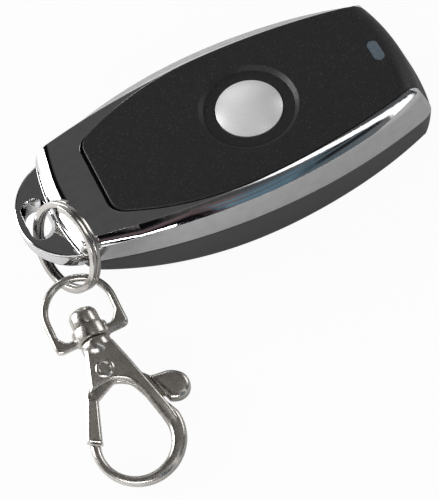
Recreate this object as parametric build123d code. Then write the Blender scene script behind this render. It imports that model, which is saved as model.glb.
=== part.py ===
from build123d import *
import os
from math import atan, cos, radians, sin, sqrt

os.makedirs("parts", exist_ok=True)

# Remote transmitter on a key clasp, in millimetres.
# The origin is on the flat back face, below the button. +X points to the lamp end, +Z up through the button.

# Casing form
body_height = 15.0
half_width = 15.05
side_radius = 90.0
widest_x = -2.5
side_flare = 0.06
widest_z = body_height - 7.0
back_draft = 0.065
end_corner = half_width - 10.25
nose_corner = 5.0
tail_x = -34.8
tail_bow = 40.0
tail_roll_length = 3.0
nose_x = 26.6
nose_z = body_height - 3.0
nose_slope = 0.31
nose_bow = 35.0
nose_top_roll = 3.6
nose_low_roll = 5.5
back_flat_rear = -8.0
back_rise_radius = 66.0
back_tail_round = 4.4
back_edge_round = 2.2
back_edge_share = 0.56

# Parting line between the back cover and what sits on it: rear end, middle and nose end
parting_rear = body_height - 6.25
parting_middle = body_height - 6.7
parting_nose = body_height - 8.2
parting_middle_x = -4.0

# Bezel frame
bezel_wall = 1.2
bezel_lip_bottom = body_height - 2.1
bezel_drop = 0.3
opening_half = half_width - 2.2
opening_peak_x = -4.0
opening_rear_radius = 47.0
opening_nose_radius = 112.0
opening_rear = -26.8
opening_corner = 3.0
bezel_end_wall = 3.0
facet_z = body_height - 4.3
facet_top_radius = 120.0
facet_overlap = 0.08
facet_widest = half_width + 4.35
facet_foot = [
    (-38.0, facet_widest - 11.0),
    (-30.0, facet_widest - 8.1),
    (-21.0, facet_widest - 4.0),
    (-13.0, facet_widest - 1.0),
    (-6.0, facet_widest),
    (6.0, facet_widest - 1.3),
    (15.0, facet_widest - 3.5),
    (26.4, facet_widest - 8.5),
]
facet_end_x = 25.2
facet_end_round = 1.9

# Key ring lug
lug_centre_x = -31.0
lug_reach = 9.5
lug_half = half_width - 5.15
lug_top = body_height - 4.0
lug_bottom = lug_top - 3.15
lug_edge = 0.35
eyelet_x = -37.15
mouth_length = 8.0
mouth_width = 4.1
throat_x = -37.4
throat_z = lug_top - 1.6
throat_length = 5.0
throat_width = 3.7
low_mouth_x = -37.5
low_mouth_length = 8.4
low_mouth_width = 5.2

# Covers
groove = 0.6
cover_gap = 0.12
skirt_gap = 0.1
skirt_wall = 0.8
flange_thick = 1.1
cover_thick = 1.6
cover_edge_round = 0.22
recess_radius = 8.0
recess_floor_radius = 7.3
recess_depth = 0.6
back_wall = 1.5

# Button and switch
button_radius = 5.35
button_gap = 0.15
button_edge_drop = 0.5
button_crown = 0.65
button_flange = 0.8
button_flange_width = 0.85
button_skirt_bottom = body_height - 2.6
button_stem_radius = 1.6
press_clearance = 0.05
switch_side = 6.0
switch_base_height = 3.1
switch_plate = 0.3
plunger_radius = 1.7
plunger_height = 4.3
plunger_gap = 0.1

# Lamp and its window
lamp_x = 22.2
lamp_y = -0.4
window_length = 4.2
window_width = 1.9
window_gap = 0.04
window_flange = 0.55
window_flange_thick = 0.6
lamp_radius = 1.5
lamp_flange = 1.9
lamp_height = 4.2

# Circuit board
board_top = body_height - 7.6
board_thick = 1.0
board_inset = 2.7
board_rear = -20.5
board_nose = 24.3
board_side = 3.15
board_reach = 20.0
board_screw_room = 0.9

# Parts on the board
part_stand = 0.1
foot_thick = 0.25
encoder_rear = 5.4
encoder_front = 15.2
encoder_near = -5.9
encoder_far = -2.0
encoder_height = 1.7
encoder_feet = 8
encoder_foot_rear = 5.85
encoder_foot_pitch = 1.27
encoder_foot_half = 0.2
encoder_foot_reach = 0.7
encoder_foot_sides = (-6.5, -2.1)
resonator_x = -8.6
resonator_y = -3.6
resonator_radius = 2.1
resonator_height = 2.8
resonator_flange = 2.4
resonator_flange_thick = 0.5
transistor_rear = -13.9
transistor_front = -12.5
transistor_near = -4.4
transistor_far = -1.5
transistor_height = 1.1
transistor_feet = [(-14.4, -2.4), (-14.4, -3.9), (-12.6, -3.1)]
transistor_foot_length = 0.6
transistor_foot_width = 0.4
transistor_foot_thick = 0.2
coil_x = -18.4
coil_y = -6.2
coil_radius = 1.35
coil_wire = 0.25
coil_pitch = 0.75
coil_turns = 5
coil_stand = 0.01
chip_half_length = 0.8
chip_half_width = 0.4
chip_height = 0.5
chip_places = [
    (-17.0, -1.6),
    (-17.0, 0.2),
    (-11.0, 1.4),
    (-7.2, 1.4),
    (-5.4, -7.6),
    (-1.6, -7.6),
    (1.8, -7.6),
    (17.4, -2.6),
]

# Battery, a 12 V cell lying beside the board
cell_radius = 4.0
cell_length = 28.0
cell_x = -2.5
cell_y = half_width - 7.6
cell_z = back_wall + 0.9 + cell_radius
contact_thick = 0.3
contact_half = 2.6
contact_below = 3.5
contact_above = 3.2
contact_foot_length = 1.8
contact_foot_far = 5.2
contact_foot_near = 2.0
leaf_reach = 1.7

# Case screws
screw_side = half_width - 9.15
screw_places = [(-23.0, screw_side), (-23.0, -screw_side), (20.4, -screw_side - 0.7)]
screw_radius = 1.0
screw_head_radius = 1.7
screw_head_height = 1.2
screw_length = body_height - 8.4
screw_head_depth = 2.6
cross_length = 2.2
cross_width = 0.5
cross_depth = 0.6
boss_radius = 2.1
boss_gap = 0.2
pilot_clearance = 0.05
post_top = parting_middle

# Split ring: two turns of flat wire through the lug, leaning on the bezel's corner
ring_radius = 6.95
ring_centre = (-35.14, -6.89, lug_top - 0.06)
ring_azimuth = 17.8
ring_dip = -27.0
ring_wire_radial = 1.4
ring_wire_axial = 0.78
ring_pitch = 0.84
ring_start = 250.0

# Swivel clasp. Its own plane has the rivet at its origin, +Y towards the eye.
clasp_tilt = 10.3
rivet_place = (-37.93, -26.25, lug_top - 6.34)
clasp_axis_x = 0.45
eye_radius = 6.05
eye_centre_y = 10.7
eye_wire = 1.15
eye_thick = 1.3
eye_edge = 0.32
eye_foot_half = 6.1
eye_foot_corner = 1.6
eye_base_y = 5.3
eye_base_thick = 1.4
eye_boss_radius = 2.9
eye_boss_length = 2.2
post_radius = 1.5
post_fit = 0.06
post_head_radius = 2.3
post_head_gap = 0.12
post_head_length = 3.1
neck_radius = 2.45
neck_gap = 0.12
cheek_half = 1.75
slot_half = 0.65
bar_half = 1.05
hook_outer_radius = 7.3
hook_outer_centre = (0.0, -11.75)
hook_inner_radius = 5.3
hook_inner_centre = (-0.5, -12.05)
gate_reach = 11.55
gate_gap = 0.16
hub_room = 4.6
trigger_thick = 1.1
rivet_radius = 0.85
rivet_fit = 0.05
rivet_head_radius = 1.5
rivet_head_height = 0.32
tab_top = [(5.15, -3.25), (7.1, -3.75), (8.8, -4.25), (10.0, -5.1)]
tab_end = [(10.75, -6.5), (10.65, -7.7), (9.9, -8.65), (8.9, -9.05)]
tab_foot = [(7.9, -9.1), (7.15, -8.75)]
tab_inner = (5.85, -5.4)
tab_edge = 0.8
tab_half = 1.2
hub_radius = 2.1
spring_radius = 1.22
spring_wire = 0.13
spring_pitch = 0.36
spring_height = 0.5

# Clearance used where solids are cut by a larger tool
beyond = 1.0


def prism(sketch, bottom, top):
    """Straight block from a plan outline between two heights."""
    return Pos(0, 0, bottom) * extrude(sketch, top - bottom)


def block(x0, x1, y0, y1, z0, z1):
    """Box between its low and high corners."""
    return Pos((x0 + x1) / 2, (y0 + y1) / 2, (z0 + z1) / 2) * Box(x1 - x0, y1 - y0, z1 - z0)


def rod(radius, x, y, bottom, top):
    """Upright cylinder between two heights."""
    return Pos(x, y, (bottom + top) / 2) * Cylinder(radius, top - bottom)


def corners(face, low, high):
    """Corners of a face between two X values."""
    return face.vertices().filter_by(lambda v: low <= v.X <= high)


def barrel(half, radius, rear, front, rear_corner, front_corner=0.0):
    """Plan outline with two bowed long sides, straight ends and rounded corners."""

    def side(x):
        return half - radius + sqrt(radius**2 - (x - widest_x) ** 2)

    ring = [
        ThreePointArc((rear, side(rear)), (widest_x, half), (front, side(front))),
        Line((front, side(front)), (front, -side(front))),
        ThreePointArc((front, -side(front)), (widest_x, -half), (rear, -side(rear))),
        Line((rear, -side(rear)), (rear, side(rear))),
    ]
    face = make_face(ring)
    face = fillet(corners(face, rear - 0.01, rear + 0.01), rear_corner)
    if front_corner > 0:
        face = fillet(corners(face, front - 0.01, front + 0.01), front_corner)
    return face


def casing_plan(inset):
    """Plan outline of the casing, drawn inwards by an inset."""
    return barrel(
        half_width - inset,
        side_radius - inset,
        tail_x - 0.6 + inset,
        nose_x + 1.4 - inset,
        end_corner - min(inset, 2.0),
        nose_corner - inset,
    )


def nose_form(inset, top_inset):
    """Everything behind the bowed nose: rolled top edge, sloping front, rounded lower edge."""
    axis_x = nose_x - nose_bow
    lean = inset / cos(atan(nose_slope))

    def front(z):
        return nose_x + (nose_z - z) * nose_slope - lean

    low = inset
    high = body_height - top_inset
    outline = Polyline((axis_x, low), (front(low), low), (front(high), high), (axis_x, high), close=True)
    face = make_face(outline)
    lower = face.vertices().sort_by(Axis.X)[-1]
    face = fillet(lower, nose_low_roll - inset)
    upper = face.vertices().filter_by(lambda v: v.X > axis_x + 5 and v.Y > high - 0.01)
    face = fillet(upper, nose_top_roll - inset)
    return revolve(Plane.XZ * face, Axis((axis_x, 0, 0), (0, 0, 1)), 360)


def tail_form(inset, top_inset):
    """Everything in front of the bowed tail: rolled bezel end above, rising back below."""
    axis_x = tail_x + tail_bow
    rear = tail_x + inset
    radius = back_rise_radius - inset
    rise = back_rise_radius - sqrt(radius**2 - (rear - back_flat_rear) ** 2)
    middle_x = (rear + back_flat_rear) / 2
    middle_z = back_rise_radius - sqrt(radius**2 - (middle_x - back_flat_rear) ** 2)
    roll_x = tail_x + tail_roll_length
    high = body_height - top_inset
    roll_top = high - bezel_drop
    roll = EllipticalCenterArc(
        (roll_x, lug_top), tail_roll_length - inset, roll_top - lug_top, start_angle=90, arc_size=90
    )
    ring = [
        Line((axis_x, inset), (back_flat_rear, inset)),
        ThreePointArc((back_flat_rear, inset), (middle_x, middle_z), (rear, rise)),
        Line((rear, rise), (rear, lug_top)),
        roll,
        Polyline((roll_x, roll_top), (roll_x + 2, high), (axis_x, high), (axis_x, inset)),
    ]
    face = make_face(ring)
    foot = face.vertices().filter_by(lambda v: v.X < rear + 0.01 and v.Y < lug_top - 1)
    face = fillet(foot, back_tail_round - inset)
    return revolve(Plane.XZ * face, Axis((axis_x, 0, 0), (0, 0, 1)), 360)


def upper_form(inset, top_inset=None):
    """Outer form of the casing above the parting line, drawn inwards by an inset."""
    top_inset = inset if top_inset is None else top_inset
    low = 5.0
    high = body_height + beyond

    def plan(z):
        return Pos(0, 0, z) * casing_plan(inset + (z - nose_z) * side_flare)

    sides = loft([plan(low), plan(high)], ruled=True)
    return sides & nose_form(inset, top_inset) & tail_form(inset, top_inset)


def lower_form(inset):
    """Outer form of the back cover, drawn inwards by an inset."""
    low = -beyond
    high = widest_z + 2

    def plan(z):
        flare = (nose_z - widest_z) * side_flare
        return Pos(0, 0, z) * casing_plan(inset + (widest_z - z) * back_draft - flare)

    sides = loft([plan(low), plan(high)], ruled=True)
    return sides & nose_form(inset, inset) & tail_form(inset, inset)


def below_parting():
    """Space under the bowed parting line between the back cover and the frame."""
    far = 60.0
    rear_x = tail_x - 2.0
    line = ThreePointArc(
        (rear_x, parting_rear), (parting_middle_x, parting_middle), (nose_x + 1.6, parting_nose)
    )
    ring = [
        line,
        Polyline(
            (nose_x + 1.6, parting_nose),
            (far, parting_nose),
            (far, -beyond),
            (-far, -beyond),
            (-far, parting_rear),
            (rear_x, parting_rear),
        ),
    ]
    return extrude(Plane.XZ * make_face(ring), far, both=True)


def cover_plan(gap, rear_gap):
    """Outline of the opening in the bezel, and of the cover that fills it."""
    rear = opening_rear + rear_gap
    front = nose_x + 6
    plan = lens(
        opening_half - gap, opening_rear_radius - gap, opening_nose_radius - gap, opening_peak_x, rear, front
    )
    return fillet(corners(plan, rear - 0.01, rear + 0.01), opening_corner)


def lens(half, rear_radius, front_radius, peak_x, x0, x1):
    """Plan outline made of a rear and a front arc on each side."""

    def side(x):
        radius = rear_radius if x < peak_x else front_radius
        return half - radius + sqrt(radius**2 - (x - peak_x) ** 2)

    def arc(xa, xb, sign):
        middle = (xa + xb) / 2
        return ThreePointArc((xa, sign * side(xa)), (middle, sign * side(middle)), (xb, sign * side(xb)))

    return make_face(
        [
            arc(x0, peak_x, 1),
            arc(peak_x, x1, 1),
            Line((x1, side(x1)), (x1, -side(x1))),
            arc(x1, peak_x, -1),
            arc(peak_x, x0, -1),
            Line((x0, -side(x0)), (x0, side(x0))),
        ]
    )


def facet_outline(points):
    """Plan outline through points on one side, mirrored to the other side."""
    near = [(x, -y) for x, y in points]
    return make_face(
        [
            Spline(*points),
            Line(points[-1], near[-1]),
            Spline(*near[::-1]),
            Line(near[0], points[0]),
        ]
    )


def facet_cutter():
    """What is milled off the top of both rails, leaving the sloping facet with its round front end."""
    top = body_height - bezel_drop

    def upper_line(x):
        radius = facet_top_radius if x < opening_peak_x else opening_nose_radius
        return opening_half - facet_overlap - radius + sqrt(radius**2 - (x - opening_peak_x) ** 2)

    foot = Pos(0, 0, facet_z) * facet_outline(facet_foot)
    crest = Pos(0, 0, top) * facet_outline([(x, upper_line(x)) for x, y in facet_foot])
    crown = loft([foot, crest], ruled=True)
    start = facet_foot[0][0]
    reach = facet_end_x - facet_end_round
    rail_y = upper_line(reach) + facet_end_round / 2
    plan = Pos((start + reach) / 2, 0) * Rectangle(reach - start, 2 * half_width + 10)
    plan += [Pos(reach, y) * Circle(facet_end_round) for y in (rail_y, -rail_y)]
    plan -= cover_plan(0, 0)
    return prism(plan, facet_z, top + beyond) - crown


def slot_plan(length, width):
    """Slot lying across the casing."""
    return Rot(0, 0, 90) * SlotOverall(length, width)


def lug():
    """Key ring lug: a flat rounded plate with an hourglass slot through it."""
    plate = prism(Pos(lug_centre_x, 0) * Ellipse(lug_reach, lug_half), lug_bottom, lug_top)
    plate &= block(lug_centre_x - lug_reach - 1, tail_x + 2, -half_width, half_width, 0, body_height)
    rims = plate.edges().filter_by(lambda e: e.center().X < tail_x and not e.geom_type == GeomType.LINE)
    plate = fillet(rims, lug_edge)
    return plate - (lower_form(-cover_gap) & below_parting())


def eyelet():
    """Hourglass slot: wide mouths above and below, a narrow throat between them."""
    throat = Pos(throat_x, 0, throat_z) * slot_plan(throat_length, throat_width)
    mouth = Pos(eyelet_x, 0, lug_top + 0.01) * slot_plan(mouth_length, mouth_width)
    low_mouth = Pos(low_mouth_x, 0, lug_bottom - 0.01) * slot_plan(low_mouth_length, low_mouth_width)
    return loft([throat, mouth], ruled=True) + loft([low_mouth, throat], ruled=True)


# Bezel frame: plated frame with two rails, the rolled end and the lug
underside = below_parting()
top_of_bezel = body_height - bezel_drop
bezel_space = upper_form(bezel_wall) & block(
    tail_x + bezel_end_wall, nose_x + 5, -half_width - 2, half_width + 2, 0, bezel_lip_bottom
)
bezel_frame = upper_form(0) & block(-60, 60, -30, 30, 0, top_of_bezel)
bezel_frame -= underside
bezel_frame -= prism(cover_plan(0, 0), 0, body_height + beyond)
bezel_frame -= bezel_space
bezel_frame -= facet_cutter()
bezel_frame += lug()
bezel_frame -= eyelet()

# Top cover: shell with the button hole, the recess round it, the lamp slot and the screw bosses
skirt_inset = bezel_wall + skirt_gap
cavity_inset = skirt_inset + skirt_wall
cover_ceiling = body_height - cover_thick
flange_bottom = bezel_lip_bottom - skirt_gap - flange_thick
plug = upper_form(0) & prism(cover_plan(cover_gap, groove), 0, body_height + beyond)
plug_rim = plug.edges().filter_by(
    lambda e: e.center().Z > body_height - 0.01 and e.center().X < nose_x - nose_top_roll - 0.8
)
plug = fillet(plug_rim, cover_edge_round)
under_lip = block(
    tail_x + bezel_end_wall + skirt_gap, nose_x + 5, -half_width, half_width, 0, bezel_lip_bottom - skirt_gap
)
cavity_form = upper_form(cavity_inset, cover_thick)
end_space = tail_x + bezel_end_wall + skirt_gap + skirt_wall
low_cavity = cavity_form & block(end_space, nose_x + 5, -half_width, half_width, 0, flange_bottom)
high_cavity = cavity_form & prism(cover_plan(skirt_wall + 0.4, groove + skirt_wall), 0, cover_ceiling)
top_cover = plug + (upper_form(skirt_inset) & under_lip)
top_cover -= low_cavity
top_cover -= high_cavity
top_cover -= underside
for x, y in screw_places:
    top_cover += rod(boss_radius, x, y, post_top + boss_gap, cover_ceiling + 0.2)
    top_cover -= rod(screw_radius + pilot_clearance, x, y, post_top, cover_ceiling - 0.4)
recess = Cone(recess_floor_radius, recess_radius, recess_depth)
top_cover -= Pos(0, 0, body_height - recess_depth / 2) * recess
top_cover -= rod(button_radius + button_gap, 0, 0, cover_ceiling - beyond, body_height)
window_hole = Pos(lamp_x, lamp_y) * slot_plan(window_length, window_width)
top_cover -= prism(window_hole, cover_ceiling - beyond, body_height + beyond)

# Back cover: tub with screw posts, counterbored from below
back_outer = lower_form(0)
low_rim = back_outer.edges().filter_by(
    lambda e: e.center().Z < widest_z - 2.5
    and abs(e.center().Y) > back_edge_share * half_width
    and e.length > 15
    and e.bounding_box().size.Y < 0.6 * half_width
)
back_outer = fillet(low_rim, back_edge_round)
back_inner = lower_form(back_wall)
back_cover = (back_outer - back_inner) & underside
for x, y in screw_places:
    post = rod(boss_radius + 0.5, x, y, 0, post_top) & back_outer
    back_cover += post
    back_cover -= rod(screw_head_radius + boss_gap, x, y, -beyond, screw_head_depth + screw_head_height)
    back_cover -= rod(screw_radius + boss_gap, x, y, 0, post_top + beyond)

# Case screws: pan heads with a cross recess
case_screws = []
for x, y in screw_places:
    head_bottom = screw_head_depth
    head_top = screw_head_depth + screw_head_height
    screw = rod(screw_head_radius, x, y, head_bottom, head_top)
    screw += rod(screw_radius, x, y, head_top, head_top + screw_length)
    cross = Box(cross_length, cross_width, 2 * cross_depth) + Box(cross_width, cross_length, 2 * cross_depth)
    case_screws.append(screw - Pos(x, y, head_bottom) * cross)

# Button cap: domed top, skirt, flange below the cover and a stem over the switch
button_edge = body_height - button_edge_drop
dome_radius = (button_radius**2 + button_crown**2) / (2 * button_crown)
button_cap = rod(button_radius, 0, 0, button_skirt_bottom, button_edge + button_crown)
button_cap &= Pos(0, 0, button_edge + button_crown - dome_radius) * Sphere(dome_radius)
flange_top = cover_ceiling - press_clearance
button_cap += rod(button_radius + button_flange_width, 0, 0, flange_top - button_flange, flange_top)
button_cap -= rod(button_radius - 1.1, 0, 0, button_skirt_bottom - beyond, button_edge - 1.0)
plunger_top = board_top + plunger_height
button_cap += rod(button_stem_radius, 0, 0, plunger_top + press_clearance, button_edge - 0.5)

# Switch under the button
switch_top = board_top + switch_base_height
frame_half = switch_side / 2
switch_body = block(-frame_half, frame_half, -frame_half, frame_half, board_top, switch_top)
switch_body = fillet(switch_body.edges().filter_by(Axis.Z), 0.3)
switch_body -= rod(plunger_radius + plunger_gap, 0, 0, switch_top - 1.3, switch_top + beyond)
switch_frame = block(-frame_half, frame_half, -frame_half, frame_half, switch_top, switch_top + switch_plate)
switch_frame = fillet(switch_frame.edges().filter_by(Axis.Z), 0.5)
switch_frame -= rod(plunger_radius + plunger_gap, 0, 0, switch_top - beyond, switch_top + beyond)
switch_plunger = rod(plunger_radius, 0, 0, switch_top - 0.9, plunger_top)
switch_plunger = fillet(switch_plunger.edges().group_by(Axis.Z)[-1], 0.2)

# Light window: clear plug following the cover, held by a flange below it
window_slot = slot_plan(window_length - 2 * window_gap, window_width - 2 * window_gap)
window_foot = slot_plan(window_length + 2 * window_flange, window_width + 2 * window_flange)
window_flange_top = cover_ceiling - 0.05
window_flange_under = window_flange_top - window_flange_thick
light_window = prism(Pos(lamp_x, lamp_y) * window_slot, cover_ceiling - 0.1, body_height + beyond)
light_window &= upper_form(0.06)
window_rim = prism(Pos(lamp_x, lamp_y) * window_foot, window_flange_under, window_flange_top)
light_window += window_rim & upper_form(cavity_inset + 0.1, cover_thick)

# Lamp on the board
lamp = rod(lamp_radius, lamp_x, lamp_y, board_top + 0.8, board_top + lamp_height - lamp_radius)
lamp += Pos(lamp_x, lamp_y, board_top + lamp_height - lamp_radius) * Sphere(lamp_radius)
lamp += rod(lamp_flange, lamp_x, lamp_y, board_top, board_top + 0.8)

# Circuit board: follows the casing on one side, straight beside the battery
board_plan = casing_plan(board_inset) & (
    Pos((board_rear + board_nose) / 2, -board_reach / 2)
    * Rectangle(board_nose - board_rear, board_reach + 2 * board_side)
)
circuit_board = prism(board_plan, board_top - board_thick, board_top)
circuit_board -= [rod(boss_radius + board_screw_room, x, y, 0, body_height) for x, y in screw_places]

# Parts on the board
encoder_chip = block(
    encoder_rear, encoder_front, encoder_near, encoder_far, board_top + part_stand, board_top + encoder_height
)
encoder_chip = fillet(encoder_chip.edges().filter_by(Axis.Z), 0.2)
for side in encoder_foot_sides:
    for foot in range(encoder_feet):
        foot_x = encoder_foot_rear + encoder_foot_pitch * foot
        low_x = foot_x - encoder_foot_half
        high_x = foot_x + encoder_foot_half
        far_y = side + encoder_foot_reach
        encoder_chip += block(low_x, high_x, side, far_y, board_top, board_top + foot_thick)
resonator_rim = board_top + resonator_flange_thick
saw_resonator = rod(resonator_flange, resonator_x, resonator_y, board_top, resonator_rim)
saw_resonator += rod(resonator_radius, resonator_x, resonator_y, resonator_rim, board_top + resonator_height)
rf_transistor = block(
    transistor_rear,
    transistor_front,
    transistor_near,
    transistor_far,
    board_top + part_stand,
    board_top + transistor_height,
)
for x, y in transistor_feet:
    far_x = x + transistor_foot_length
    far_y = y + transistor_foot_width
    rf_transistor += block(x, far_x, y, far_y, board_top, board_top + transistor_foot_thick)
coil_path = Helix(pitch=coil_pitch, height=coil_pitch * coil_turns, radius=coil_radius)
coil_section = Plane(origin=coil_path @ 0, z_dir=coil_path % 0) * Circle(coil_wire)
coil_z = board_top + coil_radius + coil_wire + coil_stand
tuning_coil = Pos(coil_x, coil_y, coil_z) * Rot(0, 90, 0) * sweep(coil_section, path=coil_path)
chip_parts = []
for x, y in chip_places:
    chip_parts.append(
        block(
            x - chip_half_length,
            x + chip_half_length,
            y - chip_half_width,
            y + chip_half_width,
            board_top,
            board_top + chip_height,
        )
    )

# Battery: can with a raised cap on its positive end
battery = Rot(0, 90, 0) * Cylinder(cell_radius, cell_length - 1)
battery = fillet(battery.edges(), 0.4)
battery += Pos(cell_length / 2 - 0.25, 0, 0) * Rot(0, 90, 0) * Cylinder(1.5, 0.9)
battery = Pos(cell_x, cell_y, cell_z) * battery

# Battery contacts, standing on the back cover's floor at the two ends of the cell
cell_front = cell_x + cell_length / 2 + 0.25
cell_rear = cell_x - cell_length / 2 + 0.5
end_contact = block(
    cell_front,
    cell_front + contact_thick,
    cell_y - contact_half,
    cell_y + contact_half,
    cell_z - contact_below,
    cell_z + contact_above,
)
end_contact += block(
    cell_front,
    cell_front + contact_foot_length,
    cell_y - contact_foot_far,
    cell_y - contact_foot_near,
    board_top,
    board_top + contact_thick,
)
leaf = [
    (cell_rear - leaf_reach, -3.4),
    (cell_rear - leaf_reach, 3.0),
    (cell_rear - 0.35, 0.6),
    (cell_rear - 1.0, -2.4),
]
leaf_line = FilletPolyline(*[(x, cell_z + z) for x, z in leaf], radius=0.5)
leaf_face = Plane.XZ * make_face(offset(leaf_line, contact_thick / 2, side=Side.BOTH))
leaf_contact = Pos(0, cell_y, 0) * extrude(leaf_face, 2.2, both=True)

# Split ring
ring_plane = Plane(
    origin=ring_centre,
    x_dir=(sin(radians(ring_azimuth)), -cos(radians(ring_azimuth)), 0),
    z_dir=(
        cos(radians(ring_dip)) * cos(radians(ring_azimuth)),
        cos(radians(ring_dip)) * sin(radians(ring_azimuth)),
        sin(radians(ring_dip)),
    ),
)
ring_path = Helix(pitch=ring_pitch, height=2 * ring_pitch, radius=ring_radius)
ring_section = Plane(origin=ring_path @ 0, x_dir=(1, 0, 0), z_dir=ring_path % 0) * RectangleRounded(
    ring_wire_radial, ring_wire_axial, 0.18
)
ring_coil = Pos(0, 0, -ring_pitch) * sweep(ring_section, path=ring_path, is_frenet=True)
split_ring = ring_plane.location * Rot(0, 0, ring_start) * ring_coil

# Clasp plane
clasp_plane = Plane(
    origin=rivet_place, x_dir=(1, 0, 0), z_dir=(0, -sin(radians(clasp_tilt)), cos(radians(clasp_tilt)))
)


def along(radius, start, end, x=clasp_axis_x):
    """Cylinder along the clasp's length."""
    return Pos(x, (start + end) / 2, 0) * Rot(90, 0, 0) * Cylinder(radius, end - start)


def slab(sketch, half):
    """Plate on both sides of the clasp's middle plane."""
    return extrude(sketch, half, both=True)


# Swivel eye: D-shaped wire with a bored boss in its foot
eye_inner = eye_radius - eye_wire
eye_low = eye_base_y
eye_outline = Pos(clasp_axis_x, eye_centre_y) * Circle(eye_radius)
eye_outline += make_face(
    Polyline(
        (clasp_axis_x - eye_radius, eye_centre_y),
        (clasp_axis_x - eye_foot_half, eye_low),
        (clasp_axis_x + eye_foot_half, eye_low),
        (clasp_axis_x + eye_radius, eye_centre_y),
        close=True,
    )
)
eye_outline &= Pos(clasp_axis_x, eye_low + 10) * Rectangle(30, 20)
eye_outline = fillet(eye_outline.vertices().group_by(Axis.Y)[0], eye_foot_corner)
eye_hole = Pos(clasp_axis_x, eye_centre_y) * Circle(eye_inner)
eye_hole += make_face(
    Polyline(
        (clasp_axis_x - eye_inner, eye_centre_y),
        (clasp_axis_x - eye_inner, eye_low + eye_base_thick),
        (clasp_axis_x + eye_inner, eye_low + eye_base_thick),
        (clasp_axis_x + eye_inner, eye_centre_y),
        close=True,
    )
)
eye_hole &= Pos(clasp_axis_x, eye_low + eye_base_thick + 10) * Rectangle(30, 20)
swivel_eye = slab(eye_outline - eye_hole, eye_thick / 2)
eye_rims = swivel_eye.edges().filter_by(lambda e: abs(abs(e.center().Z) - eye_thick / 2) < 0.01)
swivel_eye = fillet(eye_rims, eye_edge)
swivel_eye += along(eye_boss_radius, eye_low, eye_low + eye_boss_length)
swivel_eye -= along(post_radius + post_fit, eye_low - beyond, eye_low + eye_boss_length + beyond)
swivel_eye = clasp_plane.location * swivel_eye

# Hook body: cheeks with a slot for the trigger, a round bar bent into the hook, and the riveted post
cheek_plan = make_face(
    [
        Polyline((-3.7, -2.3), (-1.8, 4.0), (2.8, 4.0), (3.9, 0.5), (7.0, -10.3), (6.4, -11.6), (5.7, -8.5)),
        ThreePointArc((5.7, -8.5), (4.6, -5.3), (2.6, -2.75)),
        ThreePointArc((2.6, -2.75), (-0.6, -1.75), (-3.7, -2.3)),
    ]
)
bar_plan = Pos(*hook_outer_centre) * Circle(hook_outer_radius)
bar_plan += make_face(Polyline((-4.5, -2.6), (-2.5, 2.0), (3.5, 2.0), (7.0, -10.3), (0, -12), close=True))
bar_plan -= Pos(*hook_inner_centre) * Circle(hook_inner_radius)
bar_plan -= make_face(
    [
        Polyline((-12, -12), (4.8, -12), (2.4, -6.2)),
        ThreePointArc((2.4, -6.2), (-0.2, -3.9), (-3.3, -4.3)),
        Polyline((-3.3, -4.3), (-4.6, -2.5), (-12, 0), (-12, -12)),
    ]
)
nose_keep = Circle(30) - Circle(gate_reach + gate_gap)
gate_side = Pos(-7, -6) * Rectangle(8, 13)
hook_bend = Pos(*hook_outer_centre) * Circle(hook_outer_radius)
hook_bend -= Pos(*hook_inner_centre) * Circle(hook_inner_radius)
bar_plan += hook_bend & (gate_side & nose_keep)
gate_room = Circle(gate_reach + gate_gap) - Circle(hub_room)
bar_plan -= gate_room & (Pos(-7.2, -8) * Rectangle(10, 12))
hook_bar = slab(bar_plan, bar_half)
cheeks = slab(cheek_plan, cheek_half)
hook_body = hook_bar + cheeks
hook_body += along(neck_radius, 2.6, eye_low - neck_gap)
trigger_slot = Polyline((-9, -8), (-9, 2.3), (9, 2.3), (9, -7.6), (5.3, -9.1), (2.0, -8.0), close=True)
hook_body -= slab(make_face(trigger_slot), slot_half)
hook_body -= Cylinder(rivet_radius + 0.01, 4 * cheek_half)
head_start = eye_low + eye_boss_length + post_head_gap
hook_body += along(post_radius, eye_low - neck_gap - 0.2, head_start + 0.2)
post_head = along(post_head_radius, head_start, head_start + post_head_length)
post_head = fillet(post_head.edges().group_by(Axis.Y)[-1], 0.9)
hook_body += post_head
hook_body = clasp_plane.location * hook_body

# Trigger: gate bar, hub on the rivet and thumb tab in one piece
gate_bar_plan = make_face(
    Polyline((-2.9, -3.7), (-4.4, -2.3), (-8.2, -11.0), (-5.6, -11.4), close=True)
) & (Circle(gate_reach) - Circle(hub_room + gate_gap))
tab_plan = make_face(
    [Spline(*tab_top, *tab_end, *tab_foot), Polyline(tab_foot[-1], tab_inner, tab_top[0])]
)
hub_rim = Circle(hub_radius).edges()
trigger_web_plan = make_hull(
    hub_rim + (Pos(5.4, -4.9) * Circle(0.9)).edges() + (Pos(7.0, -6.8) * Circle(1.2)).edges()
)
gate_web_plan = make_hull(hub_rim + (Pos(-4.6, -4.3) * Circle(0.8)).edges())
trigger = slab(trigger_web_plan + gate_web_plan + gate_bar_plan, trigger_thick / 2)
trigger += slab(gate_bar_plan, bar_half)
trigger_tab = slab(tab_plan, tab_half)
tab_rims = trigger_tab.edges().filter_by(lambda e: abs(abs(e.center().Z) - tab_half) < 0.01)
trigger += fillet(tab_rims, tab_edge)
trigger -= Cylinder(rivet_radius + rivet_fit, 4)
trigger -= Pos(0, 0, -trigger_thick / 2 + 0.3) * Cylinder(1.5, 0.62)
trigger_gate = clasp_plane.location * trigger

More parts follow.
